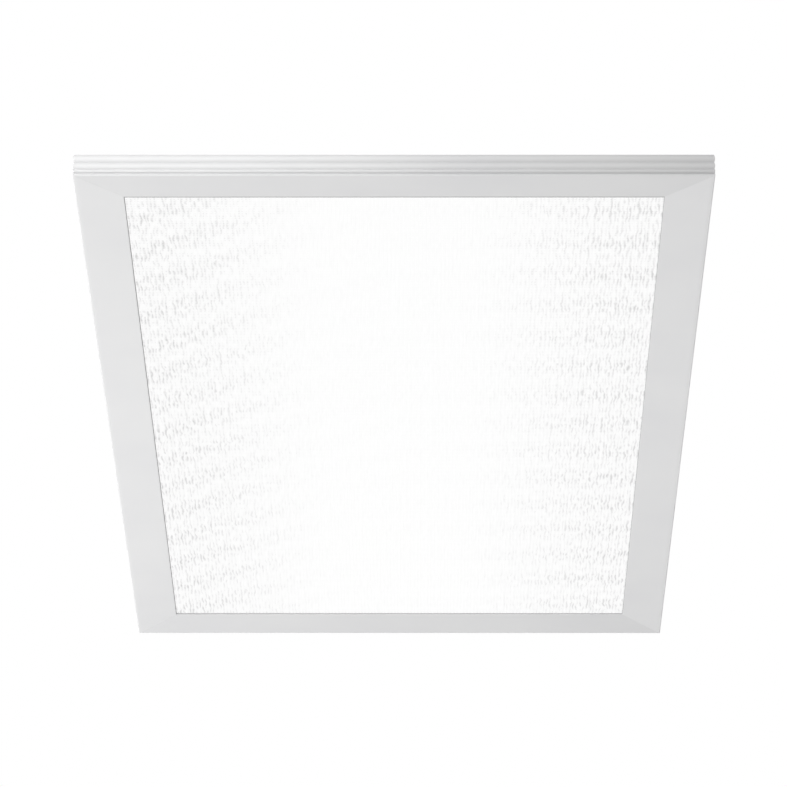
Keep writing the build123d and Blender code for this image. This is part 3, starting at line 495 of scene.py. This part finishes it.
def makeShadeBead():
    # a grey strip, satin, that stands for the shade at the edge of the lens: painted shade. Its section is a
    # rectangle carried round the
    # opening: four corners outside and four inside, below and above
    material = newMaterial("greyShadeBead", {
        "Base Color": toLinear(shadeBead["colour"]), "Roughness": shadeBead["roughness"]})[0]
    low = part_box("prismatic_lens")[0][2]
    outer = square * np.array(lens["opening"]) * mm
    across = np.array([shadeBead["left"], shadeBead["right"], shadeBead["right"], shadeBead["left"]])
    along = np.array([shadeBead["near"], shadeBead["near"], shadeBead["far"], shadeBead["far"]])
    inner = outer - square * np.column_stack([across, along]) * mm
    bottom, top = low - shadeBead["height"] * mm, low + shadeBead["overlap"] * mm
    points = np.concatenate([np.column_stack([ring, np.full(4, z)]) for ring, z in
                             ((outer, bottom), (inner, bottom), (inner, top), (outer, top))])
    # a face lies between ring k and the next one, m, and between corner i and the next one, j
    k, i = (grid.ravel() for grid in np.meshgrid(np.arange(4), np.arange(4), indexing="ij"))
    m, j = (k + 1) % 4, (i + 1) % 4
    faces = np.stack([4 * k + i, 4 * m + i, 4 * m + j, 4 * k + j], axis=-1)
    piece = addPiece("lensShadeBead", points, faces.tolist(), material)
    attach(piece, "root")


makeShadeBead()
print("shadeBead")


# studio: camera, floor, air and lamps
camera = dict(
    place=(0.028, -4.871, -2.071),
    pitch=23.4285, yaw=-0.374, roll=0.15,  # degrees
    lensLength=231.0, sensor=36.0,
    farthest=200,                          # what it can see, in metres
)


def makeCamera():
    # looks along +Y and upwards: forward from yaw and pitch, then the picture is rolled about it
    pitch, yaw, roll = (math.radians(camera[key]) for key in ("pitch", "yaw", "roll"))
    forward = np.array([math.sin(yaw) * math.cos(pitch), math.cos(yaw) * math.cos(pitch), math.sin(pitch)])
    side = np.array([math.cos(yaw), -math.sin(yaw), 0.0])
    up = np.cross(side, forward)
    right = math.cos(roll) * side + math.sin(roll) * up
    above = -math.sin(roll) * side + math.cos(roll) * up
    data = bpy.data.cameras.new("camera")
    data.lens = camera["lensLength"]
    data.sensor_width = camera["sensor"]
    data.clip_end = camera["farthest"]
    eye = bpy.data.objects.new("camera", data)
    stand(eye, right, above, -forward, camera["place"])
    bpy.context.scene.camera = eye


floor = dict(
    height=-12.0, half=60.0,  # far below, so that no view is blocked
    colour="#F2F2F2", roughness=0.9,
    whiteShare=0.75,          # how much of it is plain white to the eye; the rest keeps shadows
)


def makeFloor():
    # a plain pale floor: a painted one mixed with white light, and the light is there for the camera only
    material, tree, shader = newMaterial("paleFloor", {
        "Base Color": toLinear(floor["colour"]), "Roughness": floor["roughness"]})
    rays = addNode(tree, "ShaderNodeLightPath")
    white = addNode(tree, "ShaderNodeEmission", {"Color": (1, 1, 1, 1), "Strength": 1.0})
    share = addNode(tree, "ShaderNodeMath", {"operation": "MULTIPLY", 1: floor["whiteShare"]},
                    {0: rays.outputs["Is Camera Ray"]})
    mixed = addNode(tree, "ShaderNodeMixShader",
                    links={0: share.outputs[0], 1: shader.outputs[0], 2: white.outputs[0]})
    tree.links.new(mixed.outputs[0], tree.nodes["Material Output"].inputs["Surface"])
    points = np.column_stack([square * floor["half"], np.full(4, floor["height"])])
    addPiece("studioFloor", points, [[0, 1, 2, 3]], material)


air = dict(
    ambient=0.468,  # the light on everything, where white is 1
)


def makeAir():
    # white where the camera, a gloss or a clear piece looks, and a plain grey light on everything else
    world = bpy.data.worlds.new("studioAir")
    bpy.context.scene.world = world
    world.use_nodes = True
    tree = world.node_tree
    rays = addNode(tree, "ShaderNodeLightPath")
    seen = rays.outputs["Is Camera Ray"]
    for kind in ("Is Glossy Ray", "Is Transmission Ray"):
        seen = addNode(tree, "ShaderNodeMath", {"operation": "MAXIMUM"},
                       {0: seen, 1: rays.outputs[kind]}).outputs[0]
    strength = addNode(tree, "ShaderNodeMapRange", {"To Min": air["ambient"], "To Max": 1.0}, {"Value": seen})
    background = tree.nodes["Background"]
    background.inputs["Color"].default_value = (1, 1, 1, 1)
    tree.links.new(strength.outputs["Result"], background.inputs["Strength"])


# square lamps that shine at the middle of the light: metres and watts
lamps = {
    "leftLamp": dict(place=(-1.4, 0.1, -2.2), size=0.8, power=41.5),     # the main light, from the left
    "frontLamp": dict(place=(-2.0, -3.4, -0.5), size=0.8, power=15.0),   # for the near wall
    "edgeLamp": dict(place=(-0.28, -1.1, 0.08), size=0.5, power=1.9),    # grazes that wall's ribs
    "rightLamp": dict(place=(1.0, 0.0, 0.2), size=0.8, power=1.2),       # for the right-hand wall
    "overheadLamp": dict(place=(1.5, 1.6, 3.0), size=2.0, power=54.0),   # for the back, unseen from below
}


def makeLamp(name, values):
    # its back points away from the middle of the light, and its sides lie level and square to that
    data = bpy.data.lights.new(name, "AREA")
    data.shape = "SQUARE"
    data.size = values["size"]
    data.energy = values["power"]
    lamp = bpy.data.objects.new(name, data)
    lamp.visible_camera = False
    place = np.array(values["place"])
    back = place / np.linalg.norm(place)
    side = np.cross((0, 0, 1), back)
    side /= np.linalg.norm(side)
    stand(lamp, side, np.cross(back, side), back, place)


makeCamera()
makeFloor()
makeAir()
for name, values in lamps.items():
    makeLamp(name, values)
bpy.context.scene.view_settings.view_transform = "Standard"
print("studio")
